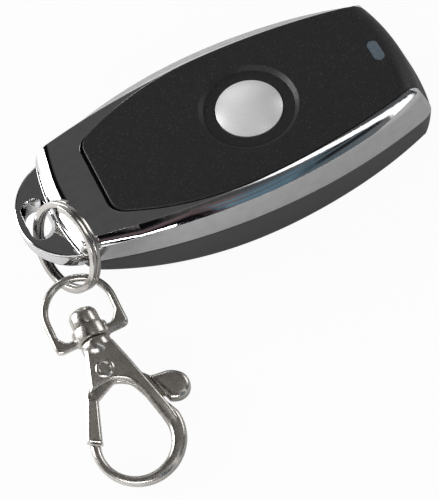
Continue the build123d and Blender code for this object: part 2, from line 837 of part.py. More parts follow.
# Rivet: hollow-ended pin with a rolled head on each side
rivet_half = cheek_half + rivet_head_height
trigger_rivet = Cylinder(rivet_radius, 2 * cheek_half)
rivet_head = Cylinder(rivet_head_radius, rivet_head_height)
for side in (1, -1):
    head = Pos(0, 0, side * (cheek_half + rivet_head_height / 2)) * rivet_head
    trigger_rivet += fillet(head.edges().filter_by(lambda e: abs(e.center().Z) > cheek_half + 0.1), 0.15)
    trigger_rivet -= Pos(0, 0, side * rivet_half) * Cylinder(rivet_radius, 0.5)
trigger_rivet = clasp_plane.location * trigger_rivet

# Trigger spring: small coil round the rivet, in the hub's counterbore
spring_path = Helix(pitch=spring_pitch, height=spring_height - 2 * spring_wire, radius=spring_radius)
spring_section = Plane(origin=spring_path @ 0, z_dir=spring_path % 0) * Circle(spring_wire)
spring_coil = Pos(0, 0, -slot_half + spring_wire + 0.02) * sweep(spring_section, path=spring_path)
trigger_spring = clasp_plane.location * spring_coil

nodes = {
    "bezel_frame": bezel_frame,
    "top_cover": top_cover,
    "back_cover": back_cover,
    "case_screws": Compound(case_screws),
    "button_cap": button_cap,
    "switch_body": switch_body,
    "switch_frame": switch_frame,
    "switch_plunger": switch_plunger,
    "light_window": light_window,
    "lamp": lamp,
    "circuit_board": circuit_board,
    "encoder_chip": encoder_chip,
    "saw_resonator": saw_resonator,
    "rf_transistor": rf_transistor,
    "tuning_coil": tuning_coil,
    "chip_parts": Compound(chip_parts),
    "battery": battery,
    "battery_end_contact": end_contact,
    "battery_leaf_contact": leaf_contact,
    "split_ring": split_ring,
    "swivel_eye": swivel_eye,
    "hook_body": hook_body,
    "trigger_gate": trigger_gate,
    "trigger_rivet": trigger_rivet,
    "trigger_spring": trigger_spring,
}
for name, shape in nodes.items():
    export_step(shape, "parts/" + name + ".step")
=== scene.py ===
import math

import bmesh
import bpy
from mathutils import Matrix, Vector


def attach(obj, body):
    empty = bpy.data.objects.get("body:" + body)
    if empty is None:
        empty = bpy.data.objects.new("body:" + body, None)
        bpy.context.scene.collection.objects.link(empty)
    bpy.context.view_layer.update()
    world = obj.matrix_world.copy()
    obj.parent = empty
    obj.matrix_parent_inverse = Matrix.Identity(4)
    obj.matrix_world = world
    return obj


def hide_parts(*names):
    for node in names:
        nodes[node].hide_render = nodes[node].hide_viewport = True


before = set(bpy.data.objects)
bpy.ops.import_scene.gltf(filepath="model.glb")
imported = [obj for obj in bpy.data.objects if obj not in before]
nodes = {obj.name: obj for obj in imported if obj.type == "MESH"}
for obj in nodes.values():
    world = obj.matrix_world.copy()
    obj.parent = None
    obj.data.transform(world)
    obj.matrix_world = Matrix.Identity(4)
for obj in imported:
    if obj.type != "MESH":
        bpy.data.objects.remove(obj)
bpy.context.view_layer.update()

# The camera stands over the long near side of the remote and looks down at it, as the photograph does.
# Its place, turn and lens were fitted to the recess circle, the cover and the clasp.
camera_place = (-0.0470, -0.15757, 0.24536)
camera_turn = (30.511, 7.119, -25.066)
camera_lens = 129.6
camera_film = 36.0
camera_near = 0.01
camera_data = bpy.data.cameras.new("camera")
camera_data.lens = camera_lens
camera_data.sensor_width = camera_film
camera_data.clip_start = camera_near
camera = bpy.data.objects.new("camera", camera_data)
camera.location = camera_place
camera.rotation_euler = [math.radians(angle) for angle in camera_turn]
bpy.context.scene.collection.objects.link(camera)
bpy.context.scene.camera = camera
bpy.context.scene.view_settings.view_transform = "Standard"

# The table is a plain white sheet under the remote. It is lit to paper white and keeps a faint soft shadow.
# Beyond the tail it carries a painted glow, an emission seen only in mirror images, so the plated pieces
# mirror it brighter there.
table_size = 3.0
table_drop = 0.0002
table_tone = (0.66, 0.66, 0.66, 1)
paper_share = 0.95
# Where the table's painted glow starts, where it is full, and how strong it gets.
painted_glow_from = -0.034
painted_glow_full_from = -0.062
painted_glow_strength = 0.9


def axes(tree, kind):
    """X, Y and Z of a kind of coordinate, such as the place on the object."""
    place = tree.nodes.new("ShaderNodeTexCoord")
    split = tree.nodes.new("ShaderNodeSeparateXYZ")
    tree.links.new(place.outputs[kind], split.inputs[0])
    return split.outputs


def reckon(tree, operation, first, second=0.0, third=0.0):
    """One step of arithmetic; each value is a number or another step's result."""
    step = tree.nodes.new("ShaderNodeMath")
    step.operation = operation
    for socket, value in zip(step.inputs, (first, second, third)):
        if isinstance(value, (int, float)):
            socket.default_value = value
        else:
            tree.links.new(value, socket)
    return step.outputs[0]


def spread(tree, value, low, high, start=0.3, end=0.7):
    """Maps values between start and end, where most of a noise lies, to a range from low to high."""
    scaled = tree.nodes.new("ShaderNodeMapRange")
    scaled.inputs["From Min"].default_value = start
    scaled.inputs["From Max"].default_value = end
    scaled.inputs["To Min"].default_value = low
    scaled.inputs["To Max"].default_value = high
    tree.links.new(value, scaled.inputs["Value"])
    return scaled.outputs["Result"]


def blend(tree, share, first, second):
    """Mixes two shaders by a share."""
    mix = tree.nodes.new("ShaderNodeMixShader")
    tree.links.new(share, mix.inputs["Fac"])
    tree.links.new(first.outputs[0], mix.inputs[1])
    tree.links.new(second.outputs[0], mix.inputs[2])
    return mix


bpy.ops.mesh.primitive_plane_add(size=table_size, location=(0, 0, -table_drop))
table = bpy.context.object
table.name = "table"
table_paint = bpy.data.materials.new("table_white")
table_paint.use_nodes = True
tree = table_paint.node_tree
tree.nodes.clear()
seen = tree.nodes.new("ShaderNodeLightPath")
sheet = tree.nodes.new("ShaderNodeBsdfDiffuse")
sheet.inputs["Color"].default_value = table_tone
paper = tree.nodes.new("ShaderNodeEmission")
paper.inputs["Color"].default_value = (1, 1, 1, 1)
paper.inputs["Strength"].default_value = 1.0
table_top = blend(tree, reckon(tree, "MULTIPLY", seen.outputs["Is Camera Ray"], paper_share), sheet, paper)
# Painted glow: the table emits light towards the tail, and only glossy rays see it, in place of light
# falling on the sheet.
painted_glow_share = spread(tree, axes(tree, "Object")["X"], 0.0, painted_glow_strength, painted_glow_from, painted_glow_full_from)
painted_glow_emission = tree.nodes.new("ShaderNodeEmission")
strength = reckon(tree, "MULTIPLY", painted_glow_share, seen.outputs["Is Glossy Ray"])
tree.links.new(strength, painted_glow_emission.inputs["Strength"])
both = tree.nodes.new("ShaderNodeAddShader")
tree.links.new(table_top.outputs[0], both.inputs[0])
tree.links.new(painted_glow_emission.outputs[0], both.inputs[1])
output = tree.nodes.new("ShaderNodeOutputMaterial")
tree.links.new(both.outputs[0], output.inputs["Surface"])
table.data.materials.append(table_paint)

# The room as plated faces mirror it: dim overhead and brighter low behind the set. The camera's side is
# black towards the tail and greyish blue towards the nose. Two thin dark lines cross it, blue in the middle.
depth_tones = [
    (-1.0, (0.030, 0.031, 0.033)),
    (-0.30, (0.070, 0.072, 0.074)),
    (-0.05, (0.185, 0.175, 0.163)),
    (0.15, (0.185, 0.175, 0.163)),
    (0.34, (0.120, 0.118, 0.115)),
    (0.50, (0.098, 0.098, 0.099)),
    (0.66, (0.100, 0.100, 0.101)),
    (0.80, (0.550, 0.550, 0.560)),
    (1.0, (0.900, 0.900, 0.910)),
]
side_tones = [
    (-1.0, (0.900, 0.890, 0.880)),
    (-0.48, (0.750, 0.740, 0.730)),
    (-0.38, (0.003, 0.002, 0.004)),
    (-0.10, (0.003, 0.002, 0.004)),
    (-0.05, (0.140, 0.098, 0.100)),
    (0.06, (0.190, 0.140, 0.142)),
    (0.13, (0.120, 0.155, 0.178)),
    (0.40, (0.115, 0.146, 0.168)),
    (0.56, (0.170, 0.178, 0.182)),
    (0.66, (0.030, 0.032, 0.034)),
    (1.0, (0.350, 0.360, 0.370)),
]
line_tones = [
    (-1.0, (0.020, 0.020, 0.022)),
    (-0.02, (0.030, 0.026, 0.028)),
    (0.03, (0.150, 0.240, 0.300)),
    (0.24, (0.120, 0.210, 0.270)),
    (0.34, (0.020, 0.022, 0.026)),
]
tail_tones = [
    (-0.74, (0.003, 0.002, 0.004)),
    (-0.62, (0.150, 0.105, 0.108)),
    (-0.52, (0.160, 0.120, 0.122)),
    (-0.44, (0.060, 0.050, 0.052)),
    (1.0, (0.100, 0.100, 0.100)),
]
overhead_tone = (0.004, 0.004, 0.005)
none = (0, 0, 0)
full = (1, 1, 1)
beside_lines = [
    (-0.80, full),
    (-0.76, none),
    (-0.67, none),
    (-0.64, full),
    (-0.61, full),
    (-0.58, none),
    (-0.53, none),
    (-0.50, full),
]
beside_overhead = [(-0.52, full), (-0.46, none), (-0.20, none), (-0.10, full)]
tail_part = [(-0.42, none), (-0.34, full), (-0.08, full), (0.02, none)]
far_part = [(-0.47, none), (-0.30, full)]
world = bpy.data.worlds.new("room")
bpy.context.scene.world = world
world.use_nodes = True
tree = world.node_tree
tree.nodes.clear()
room_axes = axes(tree, "Generated")


def band(tree, value, stops):
    """Tones in bands along one direction of the room, which runs from -1 to 1."""
    reach = spread(tree, value, 0.0, 1.0, -1.0, 1.0)
    bands = tree.nodes.new("ShaderNodeValToRGB")
    while len(bands.color_ramp.elements) < len(stops):
        bands.color_ramp.elements.new(0.5)
    for stop, (across, tone) in zip(bands.color_ramp.elements, stops):
        stop.position = (across + 1) / 2
    for stop, (across, tone) in zip(bands.color_ramp.elements, stops):
        stop.color = (*tone, 1)
    tree.links.new(reach, bands.inputs["Fac"])
    return bands.outputs["Color"]


def mixed(tree, share, below, above):
    """Mixes two tones by a share; each tone is a colour or another node's result."""
    mix = tree.nodes.new("ShaderNodeMix")
    mix.data_type = "RGBA"
    tree.links.new(share, mix.inputs["Factor"])
    for place, tone in ((6, below), (7, above)):
        if isinstance(tone, tuple):
            mix.inputs[place].default_value = (*tone, 1)
        else:
            tree.links.new(tone, mix.inputs[place])
    return mix.outputs[2]


lines = band(tree, room_axes["X"], line_tones)
side = band(tree, room_axes["X"], side_tones)
near_side = mixed(tree, band(tree, room_axes["Y"], beside_lines), lines, side)
tail_side = band(tree, room_axes["Y"], tail_tones)
near_side = mixed(tree, band(tree, room_axes["X"], tail_part), near_side, tail_side)
behind = band(tree, room_axes["Y"], depth_tones)
far_side = mixed(tree, band(tree, room_axes["X"], beside_overhead), overhead_tone, behind)
room = mixed(tree, band(tree, room_axes["Y"], far_part), near_side, far_side)

# A pale strip light hangs over the nose side, and slants away from the camera's side towards the tail.
# Only mirror images show it and the room's tones. Matt pieces get an even fill, and the background is white.
room_fill = 0.42
strip_slant = 1.3
strip_tone = (2.2, 2.2, 2.2)
strip_width = [(-0.05, none), (-0.01, full), (0.10, full), (0.15, none)]
strip_length = [(0.08, none), (0.20, full), (0.66, full), (0.74, none)]
slanted = reckon(tree, "MULTIPLY_ADD", room_axes["X"], strip_slant, room_axes["Y"])
strip = reckon(tree, "MULTIPLY", band(tree, slanted, strip_width), band(tree, room_axes["X"], strip_length))
mirrored = tree.nodes.new("ShaderNodeBackground")
tree.links.new(mixed(tree, strip, room, strip_tone), mirrored.inputs["Color"])
even = tree.nodes.new("ShaderNodeBackground")
even.inputs["Color"].default_value = (room_fill, room_fill, room_fill, 1)
white = tree.nodes.new("ShaderNodeBackground")
white.inputs["Color"].default_value = (1, 1, 1, 1)
seen = tree.nodes.new("ShaderNodeLightPath")
lit = blend(tree, seen.outputs["Is Glossy Ray"], even, mirrored)
output = tree.nodes.new("ShaderNodeOutputWorld")
tree.links.new(blend(tree, seen.outputs["Is Camera Ray"], lit, white).outputs[0], output.inputs["Surface"])

# A light beyond the tail's far corner gives the white band on the rolled end and the ring's bright side.
# One beyond the lamp end models the nose. A broad one hangs behind the camera, where no facet mirrors it.
middle = (-0.01, -0.005, 0.01)


def softbox(name, place, size, power):
    """Rectangular studio light at a place, turned to the middle of the set."""
    data = bpy.data.lights.new(name, "AREA")
    data.shape = "RECTANGLE"
    data.size = size[0]
    data.size_y = size[1]
    data.energy = power
    lamp = bpy.data.objects.new(name, data)
    lamp.location = place
    away = [place[axis] - middle[axis] for axis in range(3)]
    flat = math.hypot(away[0], away[1])
    lamp.rotation_euler = (math.atan2(flat, away[2]), 0, math.atan2(away[0], -away[1]))
    bpy.context.scene.collection.objects.link(lamp)


softbox("tail_light", (-0.54, 0.36, 0.24), (0.42, 0.42), 4.6)
softbox("nose_light", (0.62, 0.10, 0.30), (0.40, 0.30), 1.0)
softbox("rear_light", (-0.42, -0.66, 0.42), (0.60, 0.10), 2.6)

# Bezel frame: die-cast and chrome plated, bright and nearly mirror smooth. The sloping facet is slightly
# crowned about a line along its middle, which drops towards both ends and draws mirror images into streaks.
crest_height = 14.7
crown_radius = 1.7
narrow_x = -8.0
narrow_drop = 0.66
widening_to_nose = 0.00044
more_to_tail = 0.00060
lower_from = -8.0
lowest_from = -16.0
facet_sideways = (0.36, 0.48)
facet_upwards = (0.15, 0.30)
chrome_edge = 0.2


def shader(name):
    """New material with its principled shader and the place on the object in millimetres."""
    paint = bpy.data.materials.new(name)
    paint.use_nodes = True
    tree = paint.node_tree
    place = tree.nodes.new("ShaderNodeTexCoord")
    scale = tree.nodes.new("ShaderNodeMapping")
    scale.inputs["Scale"].default_value = (1000, 1000, 1000)
    tree.links.new(place.outputs["Object"], scale.inputs["Vector"])
    return paint, tree, tree.nodes["Principled BSDF"], scale.outputs[0]


def noise(tree, vector, size, detail=3.0):
    """Noise of a given grain size in millimetres."""
    cloud = tree.nodes.new("ShaderNodeTexNoise")
    cloud.inputs["Scale"].default_value = 1.0 / size
    cloud.inputs["Detail"].default_value = detail
    cloud.inputs["Roughness"].default_value = 0.55
    tree.links.new(vector, cloud.inputs["Vector"])
    return cloud.outputs["Fac"]


def tones(tree, value, dark, light, start=0.3, end=0.7):
    """Colours between a dark and a light tone, chosen by a noise value."""
    ramp = tree.nodes.new("ShaderNodeValToRGB")
    ramp.color_ramp.elements[0].position = start
    ramp.color_ramp.elements[0].color = (*dark, 1)
    ramp.color_ramp.elements[1].position = end
    ramp.color_ramp.elements[1].color = (*light, 1)
    tree.links.new(value, ramp.inputs["Fac"])
    return ramp.outputs["Color"]


def bump(tree, shade, value, height, edge=0.0):
    """Surface relief of a given height, over edges softened by a radius, both in millimetres."""
    relief = tree.nodes.new("ShaderNodeBump")
    if edge > 0:
        soft = tree.nodes.new("ShaderNodeBevel")
        soft.samples = 8
        soft.inputs["Radius"].default_value = edge / 1000
        tree.links.new(soft.outputs["Normal"], relief.inputs["Normal"])
    relief.inputs["Distance"].default_value = height / 1000
    tree.links.new(value, relief.inputs["Height"])
    tree.links.new(relief.outputs["Normal"], shade.inputs["Normal"])


def plating(name, dark, light, rough):
    """Bright plating with a slightly uneven tone and gloss, in patches about a millimetre wide."""
    paint, tree, shade, vector = shader(name)
    shade.inputs["Metallic"].default_value = 1.0
    tree.links.new(tones(tree, noise(tree, vector, size=1.6), dark, light), shade.inputs["Base Color"])
    gloss = noise(tree, vector, size=0.7)
    tree.links.new(spread(tree, gloss, rough * 0.8, rough * 1.25), shade.inputs["Roughness"])
    return paint, tree, shade, vector


def wear(node, paint):
    """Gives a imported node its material."""
    nodes[node].data.materials.clear()
    nodes[node].data.materials.append(paint)


chrome, tree, shade, vector = plating("chrome_plate", (0.63, 0.63, 0.64), (0.70, 0.70, 0.71), rough=0.05)
surface = axes(tree, "Object")
lean = axes(tree, "Normal")
along = reckon(tree, "MULTIPLY_ADD", surface["X"], 1000.0, -narrow_x)
height = reckon(tree, "MULTIPLY", surface["Z"], 1000.0)
tailward = reckon(tree, "LESS_THAN", along, 0.0)
widening = reckon(tree, "MULTIPLY_ADD", tailward, more_to_tail, widening_to_nose)
drop = reckon(tree, "MULTIPLY_ADD", reckon(tree, "MULTIPLY", along, along), widening, narrow_drop)
lowering = spread(tree, along, 1.0, 2.0, lower_from, lowest_from)
middle_height = reckon(tree, "SUBTRACT", crest_height, reckon(tree, "MULTIPLY", drop, lowering))
offset = reckon(tree, "SUBTRACT", height, middle_height)
crown = reckon(tree, "MULTIPLY", reckon(tree, "MULTIPLY", offset, offset), -0.5 / crown_radius)
sideways = spread(tree, reckon(tree, "ABSOLUTE", lean["Y"]), 0.0, 1.0, *facet_sideways)
upwards = spread(tree, lean["Z"], 0.0, 1.0, *facet_upwards)
facet = reckon(tree, "MULTIPLY", sideways, upwards)
bump(tree, shade, reckon(tree, "MULTIPLY", crown, facet), height=1.0, edge=chrome_edge)
wear("bezel_frame", chrome)

# Top cover: moulded in near-black plastic with a soft-touch coat, in which single flecks sparkle.
# It comes up into the bezel frame from below, and the three case screws hold it there.
fleck_scale = 3.4
fleck_tone = (0.085, 0.085, 0.09)
paint, tree, shade, vector = shader("cover_black")
grain = noise(tree, vector, size=0.16, detail=2.0)
coat = tones(tree, grain, (0.009, 0.009, 0.010), (0.018, 0.018, 0.020), start=0.35, end=0.68)
fleck = tree.nodes.new("ShaderNodeTexVoronoi")
fleck.inputs["Scale"].default_value = fleck_scale
tree.links.new(vector, fleck.inputs["Vector"])
chance = tree.nodes.new("ShaderNodeSeparateColor")
tree.links.new(fleck.outputs["Color"], chance.inputs["Color"])
bright_flecks = spread(tree, chance.outputs["Red"], 0.0, 1.0, start=0.4, end=1.0)
fleck_spot = spread(tree, fleck.outputs["Distance"], 1.0, 0.0, start=0.12, end=0.30)
sparkle = mixed(tree, reckon(tree, "MULTIPLY", bright_flecks, fleck_spot), coat, fleck_tone)
tree.links.new(sparkle, shade.inputs["Base Color"])
tree.links.new(spread(tree, noise(tree, vector, size=0.5), 0.42, 0.52), shade.inputs["Roughness"])
shade.inputs["Specular IOR Level"].default_value = 0.35
bump(tree, shade, noise(tree, vector, size=0.12, detail=2.0), height=0.006)
wear("top_cover", paint)

# Back cover: moulded in dark satin plastic, a little lighter than the top, with a fine spark-eroded grain.
# It closes the bezel frame from below and is screwed to the top cover.


def moulded(name, dark, light, rough, grain, relief):
    """Moulded plastic with a fine grain; its size and height are in millimetres."""
    paint, tree, shade, vector = shader(name)
    speckle = noise(tree, vector, grain, detail=2.0)
    tree.links.new(tones(tree, speckle, dark, light), shade.inputs["Base Color"])
    gloss = noise(tree, vector, grain * 3)
    tree.links.new(spread(tree, gloss, rough * 0.9, rough * 1.1), shade.inputs["Roughness"])
    bump(tree, shade, speckle, relief)
    return paint


back_black = moulded(
    "back_black", (0.036, 0.036, 0.037), (0.049, 0.049, 0.050), rough=0.42, grain=0.14, relief=0.006
)
wear("back_cover", back_black)

# Button: plastic cap with a satin silver, slightly pearly finish, kept in by a flange under the cover.
# Its top is a shallow dome, which falls with the square of the distance from its middle.
dome_fall = 21000.0
silver = moulded(
    "button_silver", (0.72, 0.72, 0.72), (0.78, 0.78, 0.78), rough=0.34, grain=0.25, relief=0.001
)
tree = silver.node_tree
tree.nodes["Principled BSDF"].inputs["Metallic"].default_value = 0.3
surface = axes(tree, "Object")
fall_x = reckon(tree, "MULTIPLY", reckon(tree, "MULTIPLY", surface["X"], surface["X"]), -dome_fall)
fall_y = reckon(tree, "MULTIPLY", reckon(tree, "MULTIPLY", surface["Y"], surface["Y"]), -dome_fall)
dome = tree.nodes.new("ShaderNodeBump")
dome.inputs["Distance"].default_value = 0.001
tree.links.new(reckon(tree, "ADD", fall_x, fall_y), dome.inputs["Height"])
tree.links.new(dome.outputs["Normal"], tree.nodes["Bump"].inputs["Normal"])
wear("button_cap", silver)

# Lamp window: moulded in smoky grey plastic, slightly blue, which lets a little light through.
# It is pushed into the cover's slot from inside and held by its rim.
paint, tree, shade, vector = shader("window_smoke")
smoke = tones(tree, noise(tree, vector, size=0.6), (0.090, 0.118, 0.140), (0.125, 0.155, 0.178))
tree.links.new(smoke, shade.inputs["Base Color"])
tree.links.new(spread(tree, noise(tree, vector, size=0.5), 0.16, 0.26), shade.inputs["Roughness"])
shade.inputs["Transmission Weight"].default_value = 0.15
bump(tree, shade, noise(tree, vector, size=0.4), height=0.002)
wear("light_window", paint)

# Split ring: two turns of flat nickel-plated spring wire with rounded edges, wound side by side.
# It is threaded through the lug's slot and leans on the frame's rolled end.
ring_centre = Vector((-35.14, -6.89, 10.94))
ring_heading = math.radians(17.8)
ring_dip = math.radians(-27.0)
ring_normal = Vector((
    math.cos(ring_dip) * math.cos(ring_heading),
    math.cos(ring_dip) * math.sin(ring_heading),
    math.sin(ring_dip),
))
ring_across = Vector((math.sin(ring_heading), -math.cos(ring_heading), 0))
ring_up = ring_normal.cross(ring_across)
ring_radius = 6.93
ring_pitch = 0.84
ring_start = math.radians(250)
ring_turns = 2
ring_steps = 120 * ring_turns
wire_half_width = 0.52
wire_half_height = 0.385
wire_round = 0.2
round_steps = 4


def plated(name, dark, light, rough, ripple, edge=0.2):
    """Plating with soft edges and a faint ripple from the polished metal under it, in millimetres."""
    paint, tree, shade, vector = plating(name, dark, light, rough)
    bump(tree, shade, noise(tree, vector, size=1.1, detail=1.5), ripple, edge)
    return paint


def skin(shape, rows):
    """Joins closed rows of points to one skin, capped at both ends."""
    for near, far in zip(rows, rows[1:]):
        for index in range(len(near)):
            after = (index + 1) % len(near)
            shape.faces.new((near[index], near[after], far[after], far[index]))
    for row in (rows[0], rows[-1]):
        shape.faces.new(row)


def add_piece(shape, name, node, body, paint, sharp_angle):
    """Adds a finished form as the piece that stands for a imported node."""
    mesh = bpy.data.meshes.new(name)
    shape.to_mesh(mesh)
    shape.free()
    mesh.polygons.foreach_set("use_smooth", [True] * len(mesh.polygons))
    mesh.set_sharp_from_angle(angle=math.radians(sharp_angle))
    piece = bpy.data.objects.new(name, mesh)
    bpy.context.scene.collection.objects.link(piece)
    mesh.materials.append(paint)
    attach(piece, body)
    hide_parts(node)


section = []
for side_x, side_y, first in ((1, 1, 0), (-1, 1, 90), (-1, -1, 180), (1, -1, 270)):
    for step in range(round_steps + 1):
        turn = math.radians(first + 90 / round_steps * step)
        out = side_x * (wire_half_width - wire_round) + wire_round * math.cos(turn)
        up = side_y * (wire_half_height - wire_round) + wire_round * math.sin(turn)
        section.append((out, up))
shape = bmesh.new()
rows = []
for step in range(ring_steps + 1):
    turn = ring_start + 2 * math.pi * ring_turns * step / ring_steps
    outward = ring_across * math.cos(turn) + ring_up * math.sin(turn)
    rise = ring_pitch * (ring_turns * step / ring_steps - 1)
    row = []
    for out, up in section:
        spot = ring_centre + outward * (ring_radius + out) + ring_normal * (rise + up)
        row.append(shape.verts.new(spot / 1000))
    rows.append(row)
skin(shape, rows)
bmesh.ops.recalc_face_normals(shape, faces=shape.faces)
ring_plate = plated(
    "ring_nickel", (0.37, 0.355, 0.34), (0.47, 0.455, 0.43), rough=0.2, ripple=0.0015, edge=0.0
)
add_piece(shape, "ring_wire", "split_ring", "ring", ring_plate, 50)

# Hook: casting, nickel plated in a warm grey and softly polished. Two cheeks with a thick soft rim run on as
# a round bar that bends round to the nose, and a neck carries the post that turns in the eye's foot.
# All clasp pieces are drawn in millimetres, with the rivet at the origin and the eye upwards.
rivet_place = (-37.93, -26.25, 4.66)
clasp_tilt = math.radians(10.3)
to_clasp = Matrix.Scale(0.001, 4) @ Matrix.Translation(rivet_place) @ Matrix.Rotation(clasp_tilt, 4, "X")
swivel_x = 0.45
cheek = [
    (-1.65, 4.0, 0.5),
    (-3.4, -1.6, 2.0),
    (-3.8, -2.55, 0.7),
    (-1.6, -2.0, 2.0),
    (0.5, -1.95, 3.0),
    (2.6, -3.1, 3.0),
    (3.75, -5.9, 4.0),
    (4.5, -9.4, 6.0),
    (5.2, -12.2, 6.0),
    (5.75, -13.9, 0.6),
    (6.55, -14.1, 0.6),
    (6.8, -12.0, 6.0),
    (6.3, -9.0, 6.0),
    (5.2, -4.6, 6.0),
    (3.95, 0.4, 3.0),
    (2.95, 4.0, 0.5),
]
cheek_inside = 0.66
cheek_outside = 1.75
cheek_edge = 0.52
shank_x = 2.0
taper_top = -7.0
taper_length = 6.2
taper = 0.43
bar_half = 1.05
bar_edge = 0.8
bend_outside = (0.0, -11.75)
bend_outside_radius = 7.3
bend_inside = (-0.5, -12.05)
bend_inside_radius = 5.3
neck = [(0.9, 1.9), (1.7, 2.5), (2.2, 3.1), (2.45, 3.7), (2.45, 4.6), (2.36, 4.95), (2.1, 5.17)]
post = [(1.45, 5.0), (1.45, 7.6)]
post_head = [(1.9, 7.63), (2.2, 7.75), (2.3, 8.05), (2.3, 9.3)]
post_head += [(2.2, 9.9), (1.9, 10.35), (1.3, 10.66), (0.5, 10.74)]
clasp_plate = plated(
    "clasp_nickel", (0.50, 0.48, 0.45), (0.60, 0.575, 0.545), rough=0.27, ripple=0.0015, edge=0.0
)


def rounded(points):
    """Outline with its corners turned into arcs; each point is x, y and a corner radius."""
    steps = 6
    straight = math.radians(89)
    longest_share = 0.49
    line = []
    for index, (x, y, radius) in enumerate(points):
        corner = Vector((x, y))
        before = Vector(points[index - 1][:2]) - corner
        after = Vector(points[(index + 1) % len(points)][:2]) - corner
        half_angle = before.angle(after) / 2
        if radius <= 0 or half_angle > straight:
            line.append((x, y))
            continue
        run = min(radius / math.tan(half_angle), before.length * longest_share, after.length * longest_share)
        start = corner + before.normalized() * run
        end = corner + after.normalized() * run
        for step in range(steps + 1):
            share = step / steps
            line.append(tuple(start * (1 - share) ** 2 + corner * 2 * share * (1 - share) + end * share**2))
    return line


def arc(centre, radius, first, last, steps):
    """Points of an arc between two angles in degrees, with no corner radius."""
    turns = [math.radians(first + (last - first) * step / steps) for step in range(steps + 1)]
    return [(centre[0] + radius * math.cos(turn), centre[1] + radius * math.sin(turn), 0) for turn in turns]


def plate(shape, outlines, low, high, edge):
    """Adds a plate with rounded edges between two heights above the clasp's middle plane."""
    data = bpy.data.curves.new("outline", "CURVE")
    data.dimensions = "2D"
    data.fill_mode = "BOTH"
    data.extrude = (high - low) / 2 - edge
    data.bevel_depth = edge
    data.bevel_resolution = 5
    data.offset = -edge
    for outline in [rounded(corners) for corners in outlines]:
        spline = data.splines.new("POLY")
        spline.points.add(len(outline) - 1)
        for point, (x, y) in zip(spline.points, outline):
            point.co = (x, y, 0, 1)
        spline.use_cyclic_u = True
    holder = bpy.data.objects.new("outline", data)
    mesh = bpy.data.meshes.new_from_object(holder)
    mesh.transform(Matrix.Translation((0, 0, (low + high) / 2)))
    shape.from_mesh(mesh)
    bpy.data.objects.remove(holder)
    bpy.data.meshes.remove(mesh)


def turned(shape, profile, axis_x):
    """Adds a turned form on an upright axis; the profile lists radius and height."""
    steps = 48
    turns = [2 * math.pi * step / steps for step in range(steps)]
    rows = []
    for radius, along in profile:
        spots = [(axis_x + radius * math.cos(turn), along, radius * math.sin(turn)) for turn in turns]
        rows.append([shape.verts.new(spot) for spot in spots])
    skin(shape, rows)


def chamfer(verts, foot, inward, top, edge, width, drop, low):
    """Turns the rounded edge along a straight flank into a broad soft chamfer, faded out below a height."""
    fade_length = 1.0
    inward = Vector(inward).normalized()
    for vert in verts:
        depth = (vert.co.xy - Vector(foot)).dot(inward)
        if depth > edge * 1.05 or abs(vert.co.z) < top - edge - 0.001:
            continue
        turn = math.acos(max(min((abs(vert.co.z) - top + edge) / edge, 1.0), 0.0))
        share = 1 - turn / (math.pi / 2)
        fade = max(min((vert.co.y - low) / fade_length, 1.0), 0.0)
        vert.co.xy += inward * (width * share - depth) * fade
        vert.co.z += math.copysign((top - drop * (1 - share) - abs(vert.co.z)) * fade, vert.co.z)


def cast(shape, name, node, body, paint):
    """Finishes a cast piece and puts it in its place on the clasp."""
    bmesh.ops.remove_doubles(shape, verts=shape.verts, dist=0.0005)
    bmesh.ops.recalc_face_normals(shape, faces=shape.faces)
    bmesh.ops.transform(shape, matrix=to_clasp, verts=shape.verts)
    add_piece(shape, name, node, body, paint, 40)


shape = bmesh.new()
plate(shape, [cheek], cheek_inside, cheek_outside, cheek_edge)
plate(shape, [cheek], -cheek_outside, -cheek_inside, cheek_edge)
chamfer(
    [vert for vert in shape.verts if vert.co.x < 1.0],
    foot=(-3.4, -1.6),
    inward=(5.6, -1.75),
    top=cheek_outside,
    edge=cheek_edge,
    width=0.95,
    drop=0.55,
    low=-2.6,
)
for vert in shape.verts:
    if vert.co.x > shank_x and vert.co.y < taper_top:
        share = min((taper_top - vert.co.y) / taper_length, 1.0)
        vert.co.z *= 1 - taper * share * share * (3 - 2 * share)
bar = arc(bend_outside, bend_outside_radius, -198.3, 10.0, 60)
bar += [(6.35, -8.6, 0.3), (5.9, -7.6, 0.3), (4.4, -7.6, 0.3), (4.45, -9.4, 2.0)]
bar += arc(bend_inside, bend_inside_radius, 12.0, -199.0, 60)
plate(shape, [bar], -bar_half, bar_half, bar_edge)
for profile in (neck, post, post_head):
    turned(shape, profile, swivel_x)
cast(shape, "hook_casting", "hook_body", "hook", clasp_plate)

# Trigger: one casting in the same plating, which turns on the rivet. It has a gate bar that closes on the
# hook's nose, a thin web between the cheeks and a thick rounded thumb tab.
gate_corner = (-7.24, -9.0)
gate_reach = 11.52
gate_half = 1.05
gate_edge = 0.55
gate = [(-2.95, -3.75, 0), (-4.3, -2.75, 0), (-4.75, -3.1, 0), (*gate_corner, 0)]
gate += arc((0, 0), gate_reach, -126.5, -116.5, 8)
gate += [(-4.95, -9.6, 0)]
web_half = 0.55
web_edge = 0.12
web_corner = 0.8
web = [(-2.0, 1.2), (1.9, 0.9), (6.3, -4.4), (8.1, -6.4), (7.4, -8.0)]
web += [(5.9, -7.2), (1.0, -1.9), (-3.3, -3.9), (-4.6, -3.2)]
tab_half = 1.2
tab_edge = 0.9
tab_root = (5.2, -3.3)
tab = [(*tab_root, 0.6), (9.1, -4.3, 4.0), (10.6, -5.6, 4.0), (10.85, -7.4, 4.0), (9.95, -8.85, 4.0)]
tab += [(8.3, -9.25, 4.0), (6.8, -8.6, 0.6), (5.9, -5.4, 0.6)]
root_inward = Vector((5.3, 1.6)).normalized()
root_depth = 0.95
root_low = -6.5
root_stretch = 0.65
shape = bmesh.new()
